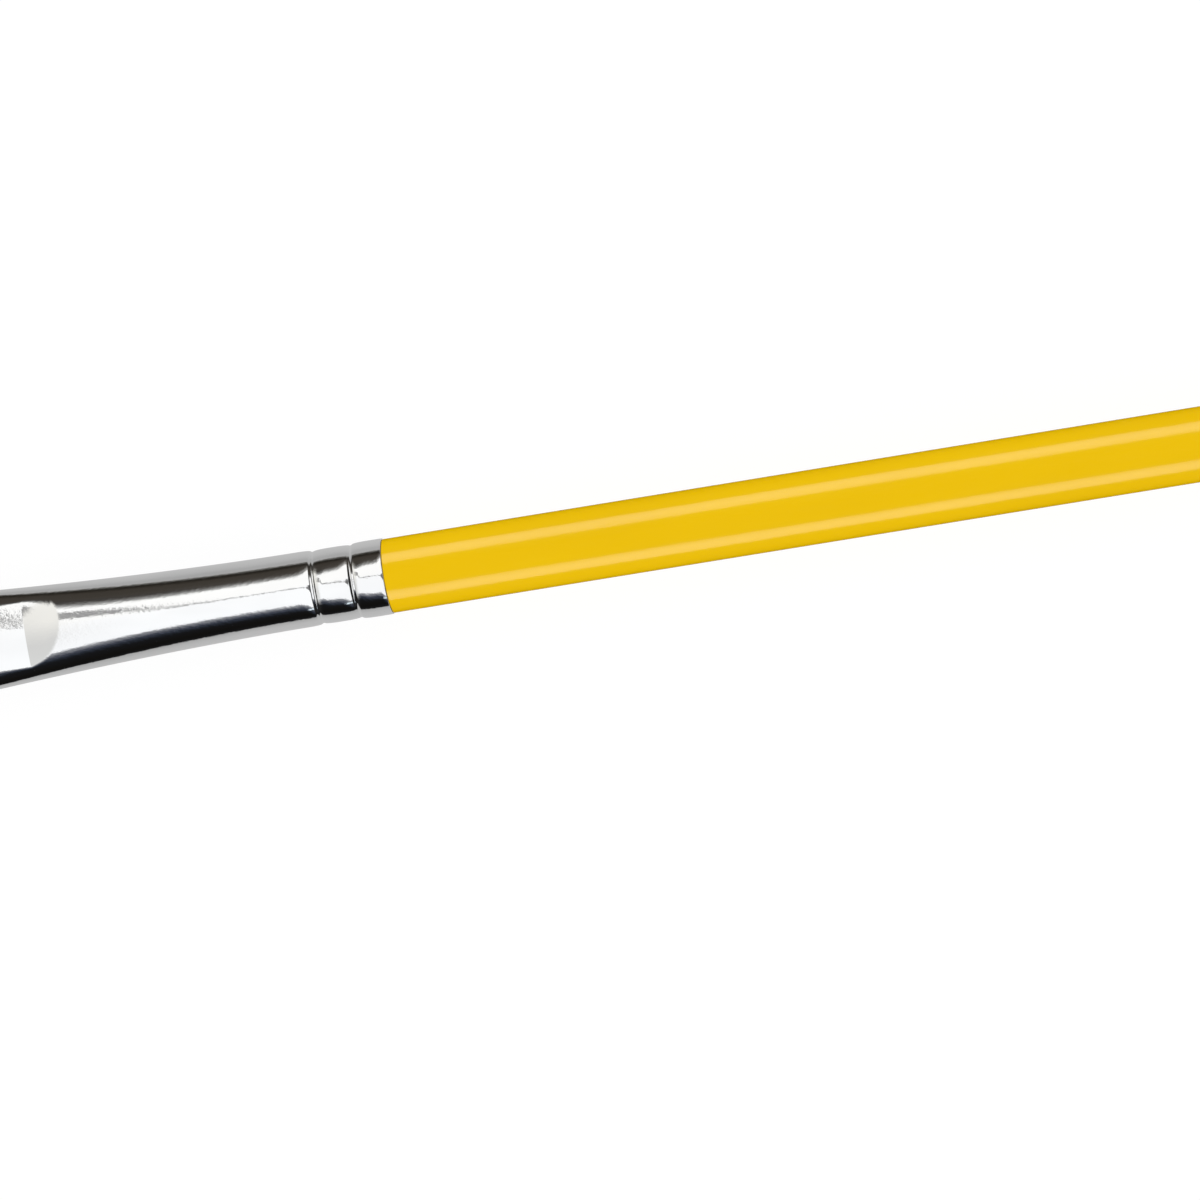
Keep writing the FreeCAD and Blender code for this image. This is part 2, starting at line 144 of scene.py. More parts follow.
class Graph:
    """A material's or the world's node tree, cleared and filled by expressions."""

    def __init__(self, owner: Material | bpy.types.World) -> None:
        """Clears the owner's tree.

        Args:
            owner: Material or world whose nodes are written.
        """
        owner.use_nodes = True
        self.tree = owner.node_tree
        self.tree.nodes.clear()

    def node(self, kind: str, sockets: dict | None = None, settings: dict | None = None) -> bpy.types.Node:
        """Adds a node.

        Args:
            kind: Blender's type name.
            sockets: Values or links, by the input's name or number.
            settings: Attributes, which are set first; "stops" fills a colour ramp.

        Returns:
            The new node.
        """
        made = self.tree.nodes.new(kind)
        for name, value in (settings or {}).items():
            if name == "stops":
                self.fill_ramp(made, value)
            else:
                setattr(made, name, value)
        for name, value in (sockets or {}).items():
            self.feed(made.inputs[name], value)
        return made

    def fill_ramp(self, ramp: bpy.types.Node, stops: list[tuple[float, Colour]]) -> None:
        """Sets a colour ramp's stops.

        Args:
            ramp: Colour ramp node.
            stops: Places and their colours, in order.
        """
        elements = ramp.color_ramp.elements
        while len(elements) < len(stops):
            elements.new(1.0)
        for element, (place, colour) in zip(elements, stops):
            element.position = place
            element.color = (*colour, 1.0)

    def feed(self, socket: Socket, value: object) -> None:
        """Links a value to a socket, or sets it where it is a plain number or colour.

        Args:
            socket: Input to fill.
            value: Value, socket, number or tuple.
        """
        if isinstance(value, Value):
            self.tree.links.new(value.socket, socket)
        elif isinstance(value, Socket):
            self.tree.links.new(value, socket)
        else:
            socket.default_value = value

    def math(self, operation: str, *values: Value | float) -> Value:
        """Adds a Math node for an operation on one or two values."""
        return self.value("ShaderNodeMath", "Value", dict(enumerate(values)), {"operation": operation})

    def value(
        self, kind: str, output: str, sockets: dict | None = None, settings: dict | None = None
    ) -> Value:
        """Adds a node and gives one of its outputs as a value."""
        return Value(self, self.node(kind, sockets, settings).outputs[output])

    def mix(self, factor: Value | float, first: object, second: object, way: str = "MIX") -> Socket:
        """Blends two colours.

        Args:
            factor: 0 for the first, 1 for the second.
            first: Colour or socket.
            second: Colour or socket.
            way: How the second goes over the first.

        Returns:
            The colour's socket.
        """
        colours = [(*c, 1.0) if isinstance(c, tuple) else c for c in (first, second)]
        sockets = {0: factor, 6: colours[0], 7: colours[1]}
        return self.node("ShaderNodeMix", sockets, {"data_type": "RGBA", "blend_type": way}).outputs[2]

    def place(self, along: float, across: float) -> Socket:
        """Object coordinates, scaled along X and across it so that a pattern can be drawn out."""
        spot = self.node("ShaderNodeTexCoord").outputs["Object"]
        return self.node("ShaderNodeMapping", {"Vector": spot, "Scale": (along, across, across)}).outputs[0]

    def noise(self, along: float, across: float, detail: float = 2.0, rough: float = 0.5) -> Value:
        """Noise from 0 to 1 with so many blotches to a metre along X and across it, in layers of detail."""
        sockets = {"Vector": self.place(along, across), "Scale": 1.0, "Detail": detail, "Roughness": rough}
        return self.value("ShaderNodeTexNoise", "Fac", sockets)

    def axis(self, name: str) -> Value:
        """Object coordinate along X, Y or Z, in metres."""
        spot = self.node("ShaderNodeTexCoord").outputs["Object"]
        return self.value("ShaderNodeSeparateXYZ", name, {"Vector": spot})

    def bump(self, height: Value, depth: float) -> Socket:
        """Normal of a surface raised by a height of 0 to 1 times a depth in metres."""
        sockets = {"Height": height, "Strength": 1.0, "Distance": depth}
        return self.node("ShaderNodeBump", sockets).outputs[0]

    def finish(self, shader: Socket, output: str = "ShaderNodeOutputMaterial") -> None:
        """Links a shader to the tree's output."""
        self.node(output, {"Surface": shader})

    def principled(self, colour: Socket, roughness: Value | float, more: dict) -> None:
        """Ends a material in a Principled shader with a colour, a roughness and more sockets by name."""
        sockets = {"Base Color": colour, "Roughness": roughness, **more}
        self.finish(self.node("ShaderNodeBsdfPrincipled", sockets).outputs[0])


def blank(name: str) -> tuple[Material, Graph]:
    """Makes a material with an empty tree."""
    made = bpy.data.materials.new(name)
    return made, Graph(made)


# Finishes


@dataclass(frozen=True)
class PlatedMetal:
    """Bright nickel plate: a mirror with a polishing wheel's fine grain, slow waves and rubbed streaks."""

    colour: Colour = (0.9, 0.9, 0.9)
    roughness: float = 0.03
    grain_per_metre: float = 3500.0
    grain_depth: float = 7.0e-6
    wave_per_metre: float = 500.0
    wave_depth: float = 4.0e-6

    def material(self) -> Material:
        """Builds the plate's material.

        Returns:
            The material.
        """
        made, g = blank("plated_metal")
        grain = g.noise(self.grain_per_metre * 0.6, self.grain_per_metre, 3.0, 0.6)
        waves = g.noise(self.wave_per_metre * 0.3, self.wave_per_metre, 1.0)
        rubbed = g.noise(90.0, 2600.0, 3.0, 0.6).ramp(0.55, 0.8)
        height = grain + waves * (self.wave_depth / self.grain_depth)
        tone = g.noise(120.0, 400.0, 2.0).ramp(0.3, 0.7)
        dull = tuple(c * 0.96 for c in self.colour)
        colour, normal = g.mix(tone, dull, self.colour), g.bump(height, self.grain_depth)
        g.principled(colour, rubbed * 0.05 + self.roughness, {"Metallic": 1.0, "Normal": normal})
        return made


@dataclass(frozen=True)
class YellowLacquer:
    """Sprayed lacquer: one warm yellow with a soft gloss and a faint orange peel."""

    colour: Colour = (0.88, 0.544, 0.0005)
    roughness: float = 0.14
    gloss: float = 0.25
    peel_per_metre: float = 900.0
    peel_depth: float = 0.8e-6

    def material(self) -> Material:
        """Builds the lacquer's material.

        Returns:
            The material.
        """
        made, g = blank("yellow_lacquer")
        tone = g.noise(60.0, 260.0, 2.0).ramp(0.25, 0.75)
        deep = (self.colour[0] * 0.975, self.colour[1] * 0.965, self.colour[2])
        rubbed = g.noise(140.0, 1800.0, 3.0, 0.6).ramp(0.5, 0.85)
        peel = g.noise(self.peel_per_metre, self.peel_per_metre, 2.0)
        more = {"Specular IOR Level": self.gloss, "Normal": g.bump(peel, self.peel_depth)}
        g.principled(g.mix(tone, deep, self.colour), rubbed * 0.05 + self.roughness, more)
        return made


@dataclass(frozen=True)
class TurnedBirch:
    """Pale turned hardwood: fine lengthwise grain with short dark flecks."""

    pale: Colour = (0.68, 0.5, 0.3)
    dark: Colour = (0.5, 0.32, 0.17)
    fleck: Colour = (0.3, 0.17, 0.08)
    roughness: float = 0.6
    grain_depth: float = 1.5e-5

    def material(self) -> Material:
        """Builds the wood's material.

        Returns:
            The material.
        """
        made, g = blank("birch_wood")
        grain = g.noise(40.0, 1600.0, 4.0, 0.6)
        fleck = g.noise(350.0, 5200.0, 2.0).ramp(0.62, 0.72)
        colour = g.mix(grain.ramp(0.3, 0.7), self.pale, self.dark)
        colour = g.mix(fleck * 0.6, colour, self.fleck)
        normal = g.bump(grain - fleck * 0.5, self.grain_depth)
        g.principled(colour, fleck * 0.15 + self.roughness, {"Normal": normal})
        return made


@dataclass(frozen=True)
class AmberResin:
    """Hard amber resin with clouds and small bubbles."""

    pale: Colour = (0.62, 0.36, 0.12)
    dark: Colour = (0.45, 0.22, 0.06)
    roughness: float = 0.25
    depth: float = 2.0e-5

    def material(self) -> Material:
        """Builds the resin's material.

        Returns:
            The material.
        """
        made, g = blank("amber_resin")
        cloud = g.noise(700.0, 700.0, 3.0)
        sockets = {"Vector": g.place(2600.0, 2600.0), "Scale": 1.0}
        bubble = 1.0 - g.value("ShaderNodeTexVoronoi", "Distance", sockets).ramp(0.1, 0.25)
        colour, normal = g.mix(cloud.ramp(0.3, 0.7), self.dark, self.pale), g.bump(cloud - bubble, self.depth)
        g.principled(colour, bubble * 0.3 + self.roughness, {"Normal": normal})
        return made


@dataclass(frozen=True)
class BrownHair:
    """Soft natural hair: dark at the root, paler at the tip, each hair a little different."""

    root: Colour = (0.075, 0.032, 0.014)
    middle: Colour = (0.16, 0.075, 0.036)
    tip: Colour = (0.4, 0.23, 0.12)
    roughness: float = 0.42
    gloss: float = 0.5
    sheen: float = 0.15

    def material(self, name: str) -> Material:
        """Builds the hair's material from the mesh's own along and tone attributes.

        Args:
            name: The material's name.

        Returns:
            The material.
        """
        made, g = blank(name)
        along = g.value("ShaderNodeAttribute", "Fac", settings={"attribute_name": "along"})
        tone = g.value("ShaderNodeAttribute", "Fac", settings={"attribute_name": "tone"})
        stops = [(0.0, self.root), (0.45, self.middle), (1.0, self.tip)]
        body = g.node("ShaderNodeValToRGB", {"Fac": along}, {"stops": stops}).outputs[0]
        shade = g.mix(tone * 0.75, body, tuple(c * 0.35 for c in self.middle))
        scale = g.noise(9000.0, 9000.0, 2.0)
        more = {"Specular IOR Level": self.gloss, "Sheen Weight": self.sheen}
        g.principled(shade, scale * 0.12 + self.roughness, more)
        return made


@dataclass(frozen=True)
class CottonThread:
    """Undyed cotton: matt, with fine fibres and a soft sheen."""

    pale: Colour = (0.85, 0.82, 0.75)
    dark: Colour = (0.6, 0.56, 0.48)
    roughness: float = 0.85
    sheen: float = 0.3
    depth: float = 1.0e-5

    def material(self) -> Material:
        """Builds the thread's material.

        Returns:
            The material.
        """
        made, g = blank("cotton_thread")
        fibre = g.noise(14000.0, 6000.0, 3.0, 0.6)
        more = {"Sheen Weight": self.sheen, "Normal": g.bump(fibre, self.depth)}
        g.principled(g.mix(fibre.ramp(0.3, 0.7), self.dark, self.pale), self.roughness, more)
        return made


@dataclass(frozen=True)
class LightTent:
    """Inside of the arch over the brush, as the plate shows it.

    There are two light boxes with a gap between them, more of them past the dark ends, a cream card towards
    the tuft, a small lamp, dim walls and pale paper low on the +Y side. Angles go round the brush's axis, in
    degrees from straight up towards +Y; reach is a place along the axis over the arch's radius.
    """

    arc: float = 240.0
    brightness: float = 1.1
    card_reach: Span = (-0.41, -0.28)
    card_end: Span = (-0.95, -0.85)
    dark_reach: Span = (0.15, 0.19)
    far_front: Span = (-1.5, -1.2)
    far_rear: Span = (0.6, 0.9)
    dark: Colour = (0.01, 0.01, 0.01)
    widening: float = 1.6
    widening_span: Span = (-0.22, 0.05)
    widening_shift: float = 0.2
    gap_angle: float = 4.5
    gap_drift: float = 20.0
    gap_half: float = 1.1
    gap_edge: float = 0.5
    gap_turn: Step = (-0.28, -0.23, 11.5, 0.0)
    gap_wedge: Step = (-0.3, -0.21, 5.5, 0.0)
    gap_rear: Span = (100.0, 70.0)
    gap_fade: Span = (0.0, 0.1)
    gap_levels: Span = (0.28, 0.12)
    lamp_angle: float = -66.0
    lamp_half: Span = (1.5, 3.5)
    lamp_reach: float = 0.02
    lamp_length: Span = (0.06, 0.1)
    lamp_colour: Colour = (0.8, 0.92, 1.0)
    boxes: Stops = (
        (-62.0, (0.0, 0.0, 0.0)),
        (-56.0, (0.012, 0.016, 0.025)),
        (-50.0, (0.045, 0.05, 0.07)),
        (-41.5, (0.27, 0.28, 0.3)),
        (-38.5, (0.97, 0.985, 1.0)),
        (5.0, (0.98, 0.99, 1.0)),
        (12.0, (1.0, 1.0, 0.99)),
        (36.5, (1.0, 1.0, 0.99)),
        (41.5, (0.29, 0.29, 0.285)),
        (47.5, (0.085, 0.084, 0.08)),
        (51.0, (0.012, 0.012, 0.012)),
        (60.0, (0.0, 0.0, 0.0)),
    )
    card: Stops = (
        (-60.0, (0.01, 0.01, 0.01)),
        (-50.0, (0.3, 0.3, 0.3)),
        (-40.0, (0.66, 0.67, 0.66)),
        (-12.0, (0.66, 0.66, 0.65)),
        (18.0, (0.83, 0.82, 0.78)),
        (45.0, (0.85, 0.84, 0.8)),
        (55.0, (0.3, 0.3, 0.28)),
        (66.0, (0.02, 0.02, 0.02)),
    )
    walls: Stops = (
        (-100.0, (0.004, 0.004, 0.004)),
        (-80.0, (0.0065, 0.006, 0.0055)),
        (-60.0, (0.008, 0.0085, 0.01)),
        (0.0, (0.01, 0.01, 0.01)),
        (45.0, (0.03, 0.028, 0.026)),
        (56.0, (0.05, 0.044, 0.037)),
        (71.0, (0.046, 0.04, 0.033)),
        (81.0, (0.014, 0.012, 0.009)),
        (85.0, (0.06, 0.057, 0.052)),
        (89.0, (0.19, 0.185, 0.175)),
        (95.0, (0.38, 0.375, 0.36)),
    )

    def band(self, g: Graph, angle: Value, stops: Stops) -> Socket:
        """Colour at an angle, from stops in degrees over an arc with its middle straight up."""
        placed = [(place / self.arc + 0.5, colour) for place, colour in stops]
        return g.node("ShaderNodeValToRGB", {"Fac": angle / self.arc + 0.5}, {"stops": placed}).outputs[0]

    def gap(self, g: Graph, angle: Value, reach: Value) -> Value:
        """Share of the gap: a narrow line that opens into a wedge at both ends of the boxes.

        Args:
            g: The material's nodes.
            angle: Degrees round the axis.
            reach: Place along the axis.

        Returns:
            1 in the gap, 0 on the boxes.
        """
        line = self.gap_angle - reach * self.gap_drift + reach.ramp(*self.gap_turn)
        half = reach.ramp(*self.gap_wedge) + self.gap_half
        rear = g.math("MAXIMUM", reach, 0.0)
        low = line - half - rear * self.gap_rear[0]
        high = line + half + rear * self.gap_rear[1]
        edge = (-self.gap_edge, self.gap_edge)
        return (angle - low).ramp(*edge) * (1.0 - (angle - high).ramp(*edge))

    def lamp(self, g: Graph, angle: Value, reach: Value) -> Value:
        """Share of the small bluish lamp that hangs low on the -Y side: 1 on it, 0 beside it."""
        round_it = g.math("ABSOLUTE", angle - self.lamp_angle).ramp(*self.lamp_half, 1.0, 0.0)
        return round_it * g.math("ABSOLUTE", reach - self.lamp_reach).ramp(*self.lamp_length, 1.0, 0.0)

    def material(self) -> Material:
        """Builds the tent's material.

        Returns:
            The material.
        """
        made, g = blank("light_tent")
        x, y, z = (g.axis(name) for name in "XYZ")
        angle = g.math("ARCTAN2", y, z) * math.degrees(1.0)
        reach = x / g.math("SQRT", y * y + z * z)
        least, most = self.widening_span
        held = g.math("MINIMUM", g.math("MAXIMUM", reach, least), most)
        wider = g.math("EXPONENT", (held + self.widening_shift) * self.widening)
        front, rear = ((level,) * 3 for level in self.gap_levels)
        gap_colour = g.mix(reach.ramp(*self.gap_fade), front, rear)
        boxes = g.mix(self.gap(g, angle, reach), self.band(g, angle / wider, self.boxes), gap_colour)
        boxes = g.mix(self.lamp(g, angle, reach), boxes, self.lamp_colour)
        seen = g.mix(reach.ramp(*self.card_reach), self.band(g, angle, self.card), boxes)
        ends = reach.ramp(*self.card_end) * (1.0 - reach.ramp(*self.dark_reach))
        seen = g.mix(ends, self.dark, seen)
        far = g.math("MAXIMUM", reach.ramp(*self.far_rear), 1.0 - reach.ramp(*self.far_front))
        seen = g.mix(far, seen, self.band(g, angle, self.boxes))
        seen = g.mix(1.0, seen, self.band(g, angle, self.walls), "ADD")
        g.finish(g.node("ShaderNodeEmission", {"Color": seen, "Strength": self.brightness}).outputs[0])
        made.cycles.emission_sampling = "NONE"
        return made


@dataclass(frozen=True)
class PalePaper:
    """White floor that stays white in the picture but keeps a share of the brush's soft shadow.

    Polished metal sees painted levels instead of the lit paper: gray near the brush, darkening from 5 cm out
    and dark past 6.5 cm on the -Y side. Places are in metres across the brush.
    """

    colour: Colour = (0.95, 0.95, 0.95)
    kept_white: float = 0.86
    white: float = 1.04
    gray_levels: Span = (0.56, 0.43)
    gray_span: Span = (0.0, 0.0525)
    painted_dark_span: Span = (-0.065, -0.05)
    painted_dark_level: float = 0.02
    fibre_per_metre: float = 2500.0
    fibre_depth: float = 2.0e-6

    def material(self) -> Material:
        """Builds the floor's material: lit paper with plain white for camera rays, painted gray for glossy
        and clear rays.

        Returns:
            The material.
        """
        made, g = blank("pale_paper")
        path = g.node("ShaderNodeLightPath").outputs
        camera = Value(g, path["Is Camera Ray"])
        mirror = g.math("MAXIMUM", Value(g, path["Is Glossy Ray"]), Value(g, path["Is Transmission Ray"]))
        fibre = g.noise(self.fibre_per_metre, self.fibre_per_metre, 2.0)
        sockets = {"Color": (*self.colour, 1.0), "Normal": g.bump(fibre, self.fibre_depth)}
        paper = g.node("ShaderNodeBsdfDiffuse", sockets).outputs[0]
        # Painted reflection: glossy and clear rays see a gray that fades out from the brush, and dark past 5
        # to 6.5 cm on the -Y side.
        side = g.axis("Y")
        gray = g.math("ABSOLUTE", side).ramp(*self.gray_span, *self.gray_levels)
        gray = gray * side.ramp(*self.painted_dark_span, self.painted_dark_level, 1.0)
        level = camera * self.white + mirror * gray
        sockets = dict.fromkeys(("Red", "Green", "Blue"), level)
        tint = g.node("ShaderNodeCombineColor", sockets).outputs[0]
        white = g.node("ShaderNodeEmission", {"Color": tint}).outputs[0]
        share = camera * self.kept_white + mirror
        g.finish(g.node("ShaderNodeMixShader", {0: share, 1: paper, 2: white}).outputs[0])
        return made


# Surfaces


def points_of(x: Array, y: Array, z: Array | float) -> Array:
    """Points from arrays of coordinates that are stretched to one shape."""
    return np.stack(np.broadcast_arrays(x, y, z), axis=-1)


def tube_walls(number: Array) -> Array:
    """Faces of tubes whose points are numbered as tubes by rings by corners."""
    ahead = np.roll(number, -1, axis=2)
    return np.stack([number[:, :-1], number[:, 1:], ahead[:, 1:], ahead[:, :-1]], axis=-1)


def surface(name: str, points: Array, ring: bool = True, loop: bool = False) -> Object:
    """Makes a smooth mesh object from a grid of points, welding seams and poles.

    Args:
        name: The object's name.
        points: Rows by columns by 3, in millimetres; looked at from the last row's side, a row turns
            anticlockwise, which makes the faces point out.
        ring: Whether each row closes on itself.
        loop: Whether the last row joins the first.

    Returns:
        The linked object.
    """
    rows, columns = points.shape[:2]
    number = np.arange(rows * columns).reshape(rows, columns)
    if ring:
        number = np.concatenate([number, number[:, :1]], axis=1)
    if loop:
        number = np.concatenate([number, number[:1]], axis=0)
    corners = [number[:-1, :-1], number[:-1, 1:], number[1:, 1:], number[1:, :-1]]
    return shell(name, points, [np.stack(corners, axis=-1)])


def shell(name: str, points: Array, faces: list[Array], weld: float = 2.0e-4) -> Object:
    """Makes a smooth mesh object from points and faces.

    Args:
        name: The object's name.
        points: Any shape of points by 3, in millimetres.
        faces: Arrays of point numbers, the corners of a face along each one's last axis.
        weld: Points nearer than this are merged, in millimetres; 0 merges none.

    Returns:
        The linked object.
    """
    mesh = bpy.data.meshes.new(name)
    corners = [part.reshape(-1, part.shape[-1]).tolist() for part in faces]
    mesh.from_pydata((points.reshape(-1, 3) * MM).tolist(), [], sum(corners, []))
    if weld:
        work = bmesh.new()
        work.from_mesh(mesh)
        bmesh.ops.remove_doubles(work, verts=work.verts, dist=weld * MM)
        work.to_mesh(mesh)
        work.free()
    mesh.polygons.foreach_set("use_smooth", np.ones(len(mesh.polygons), dtype=bool))
    mesh.update()
    made = bpy.data.objects.new(name, mesh)
    bpy.context.scene.collection.objects.link(made)
    return made


def revolved(profile: Array, columns: int) -> Array:
    """Carries a profile of places x and radii r round the X axis, to rows of x, r cos(t), r sin(t)."""
    angle = np.linspace(0.0, 2 * np.pi, columns, endpoint=False)
    return points_of(profile[:, :1], profile[:, 1:] * np.cos(angle), profile[:, 1:] * np.sin(angle))


def soft_min(first: Array, second: Array, blend: Array) -> Array:
    """Smaller of p and q, rounded: less h^2 blend / 4, where h falls from 1 to 0 as they part by blend."""
    near = np.clip(1.0 - np.abs(first - second) / blend, 0.0, None)
    return np.minimum(first, second) - near**2 * blend / 4


def dress(piece: Object, material: Material) -> None:
    """Gives a piece its only material, and reports it.

    Args:
        piece: A mesh object.
        material: What it is made of.
    """
    piece.data.materials.clear()
    piece.data.materials.append(material)
    log.info("%s: %d faces", piece.name, len(piece.data.polygons))


# Sub-assemblies


@dataclass
class Ferrule:
    """Plated tube, round and crimped at the handle, pressed flat towards the mouth.

    Sizes are in millimetres, angles in degrees.
    """

    rear: float = -0.03
    flare_start: float = -8.05
    mouth: float = -43.05
    radius: float = 3.52
    waist_drop: float = 0.048
    lip_rise: float = 0.03
    out_of_round: float = 0.05
    wall: float = 0.3
    mouth_half_width: float = 4.98
    mouth_half_height: float = 1.6
    widen_power: float = 1.76
    flatten_power: float = 2.0
    crimps: tuple[float, ...] = (-6.64, -3.04)
    rolled_in: float = 0.7
    roll_length: float = 1.85
    roll_depth: float = 0.09
    roll_power: float = 4.0
    roll_bottom: float = 0.12
    notch_half_width: float = 0.3
    notch_depth: float = 0.06
    press_entry: float = -34.12
    entry_half_height: float = 2.13
    pressed_half_height: float = 1.5
    entry_slope: float = 0.03
    ramp_slope: float = 0.135
    ramp_skew: float = 0.018
    ramp_cove: float = 0.0193
    ramp_length: float = 2.8
    crown: float = 12.0
    ramp_crown: float = 8.0
    crease: float = 0.05
    ramp_crease: float = 0.12
    crease_run: float = 3.0
    rim: float = 0.05
    least_flat: float = 24.0
    columns_flat: int = 56
    columns_side: int = 44
    rows_outside: int = 120
    rows_inside: int = 50
    rows_crimp: int = 81
    crimp_spacing: float = 1.8
    rows_entry: int = 13
    entry_run: float = 0.15
    rows_ramp: int = 48
    ramp_run: float = 4.2
    plate: PlatedMetal = field(default_factory=PlatedMetal)

    def crimp_drop(self, x: Array) -> Array:
        """Depth of the rolled grooves at places along the tube.

        Towards a groove, and towards the rolled-in rear edge, the tube falls off ever faster: by
        A (1 - d / l)^p at a distance d under the fall's length l. The distance f to a groove is eased to
        sqrt(f^2 + e^2) - e, which rounds its bottom. A notch of one cosine wave marks the roller's edge
        there. Between the grooves the tube is a little thinner, and behind them a little thicker.

        Args:
            x: Places along the tube.

        Returns:
            How far the surface lies under the plain barrel.
        """
        off = np.min(np.abs(x[..., None] - np.array(self.crimps)), axis=-1)
        eased = np.hypot(off, self.roll_bottom) - self.roll_bottom
        fall = np.clip(1.0 - np.minimum(eased, np.abs(x - self.rolled_in)) / self.roll_length, 0.0, None)
        wave = np.cos(np.pi * np.clip(off / self.notch_half_width, 0.0, 1.0))
        places = [middle + side * self.notch_half_width for middle in self.crimps for side in (-1, 1)]
        step = np.interp(x, places, [0.0, self.waist_drop, self.waist_drop, -self.lip_rise])
        return self.roll_depth * fall**self.roll_power + self.notch_depth / 2 * (1 + wave) + step

    def half_axes(self, x: Array) -> tuple[Array, Array]:
        """Half width and half height of the tube before it is pressed: nearly a circle, then an oval.

        Both go from the barrel's to the mouth's by a power of the share of the way along the flare.

        Args:
            x: Places along the tube.

        Returns:
            Half widths and half heights.
        """
        share = np.clip((self.flare_start - x) / (self.flare_start - self.mouth), 0.0, 1.0)
        low = self.radius - self.out_of_round
        wide = self.radius + (self.mouth_half_width - self.radius) * share**self.widen_power
        tall = low + (self.mouth_half_height - low) * share**self.flatten_power
        drop = self.crimp_drop(x)
        return wide - drop, tall - drop

    def press_height(self, x: Array) -> Array:
        """Half height of the press: a flat that falls ever faster to the mouth, and a coved ramp behind it.

        At a distance u from the entry, the flat is at h - s u - c u^3 and the ramp at h + r u + v u^2.

        Args:
            x: Places along the tube.

        Returns:
            Half heights of the press.
        """
        run = self.press_entry - x
        length = self.press_entry - self.mouth
        bend = (self.entry_half_height - self.pressed_half_height - self.entry_slope * length) / length**3
        flat = self.entry_half_height - self.entry_slope * run - bend * run**3
        ramp = self.entry_half_height - self.ramp_slope * run + self.ramp_cove * run**2
        return np.where(run > 0, flat, ramp)

    def press_curve(self, x: Array) -> Array:
        """Curvature of the press across the tube: a slight crown on the flat, more at the ramp's end."""
        ends = [self.press_entry, self.press_entry + self.ramp_length]
        return np.interp(x, ends, [1 / self.crown, 1 / self.ramp_crown])

    def blend(self, x: Array) -> Array:
        """Softness of the press's edge: crisp round the flat, rounder towards the ramp's end."""
        ends = [self.press_entry, self.press_entry + self.crease_run]
        return np.interp(x, ends, [self.crease, self.ramp_crease])

    def along(self) -> Array:
        """Places of the outer surface's rows, closer at the crimps and round the press's edges.

        Returns:
            Places from the rear to the mouth.
        """
        spans = [np.linspace(self.mouth + self.rim, self.rear - self.rim, self.rows_outside)]
        step = np.linspace(-1.0, 1.0, self.rows_crimp)
        near = self.roll_length * np.sign(step) * np.abs(step) ** self.crimp_spacing
        spans += [middle + near for middle in self.crimps]
        spans.append(self.press_entry + np.linspace(-self.entry_run, self.entry_run, self.rows_entry))
        spans.append(np.linspace(self.press_entry, self.press_entry + self.ramp_run, self.rows_ramp))
        return np.unique(np.round(np.concatenate(spans), 4))[::-1]

    def wall_line(self) -> Array:
        """Places along the tube and depths under its surface of one trip round the wall, rims rounded.

        Returns:
            Rows by 2, place and depth.
        """
        turn = np.linspace(0.0, np.pi / 2, 5)
        rise, run = self.rim * (1 - np.sin(turn)), self.rim * (1 - np.cos(turn))
        outer = self.along()[1:-1]
        inner = np.linspace(self.mouth + 2 * self.rim, self.rear - 2 * self.rim, self.rows_inside)
        places = np.concatenate(
            [self.rear - run, outer, self.mouth + run[::-1], self.mouth + run, inner, self.rear - run[::-1]]
        )
        outside, inside = np.zeros(outer.size), np.full(inner.size, self.wall)
        depths = np.concatenate(
            [rise, outside, rise[::-1], self.wall - rise, inside, self.wall - rise[::-1]]
        )
        return np.stack([places, depths], axis=-1)

    def columns(self, x: Array, wide: Array, tall: Array) -> Array:
        """Angles of a row's points, so that columns lie along the edges of the flats.

        An edge is where the oval meets the press: b s = z - k (1 - s^2) with s the sine of the angle and k
        half the square of a times the press's curvature. The flat takes the angles from there to straight up
        or down, and at least a fixed span; sine spacing brings the columns together at the edges.

        Args:
            x: Places of the rows, rows by 1.
            wide: Half widths a of the rows, rows by 1.
            tall: Half heights b of the rows, rows by 1.

        Returns:
            Rows by columns angles.
        """
        k = wide**2 * self.press_curve(x) / 2
        root = np.sqrt(np.clip(tall**2 - 4 * k * (self.press_height(x) - k), 0.0, None))
        edge = np.pi / 2 - np.arcsin(np.clip((tall - root) / (2 * k), 0.0, 1.0))
        flat = np.maximum(edge, np.radians(self.least_flat))
        across = np.sin(np.pi / 2 * np.linspace(-1.0, 1.0, self.columns_flat, endpoint=False))
        beside = np.sin(np.pi / 2 * np.linspace(-1.0, 1.0, self.columns_side, endpoint=False))
        over, edgewise = flat * across, (np.pi / 2 - flat) * beside
        return np.concatenate([edgewise, np.pi / 2 + over, np.pi + edgewise, 1.5 * np.pi + over], axis=1)

    def points(self) -> Array:
        """Grid of the whole wall: ellipses held down by a crowned press whose ramp is a little skew.

        Returns:
            Rows by columns by 3 points.
        """
        line = self.wall_line()
        x, depth = line[:, :1], line[:, 1:]
        wide, tall = self.half_axes(x)
        angle = self.columns(x, wide, tall)
        across = (wide - depth) * np.cos(angle)
        up = (tall - depth) * np.sin(angle)
        skew = self.ramp_skew * across * np.clip(x - self.press_entry, 0.0, self.ramp_length)
        held = self.press_height(x) - depth - across**2 * self.press_curve(x) / 2 - skew
        up = np.sign(up) * np.clip(soft_min(np.abs(up), held, self.blend(x)), 0.0, None)
        return points_of(x, across, up)

    def build(self) -> Object:
        """Makes the ferrule's piece in place of its solid.

        Returns:
            The piece.
        """
        made = surface("ferrule_tube", self.points()[:, ::-1], loop=True)
        dress(made, self.plate.material())
        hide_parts("ferrule")
        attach(made, Body.BRUSH.value)
        return made


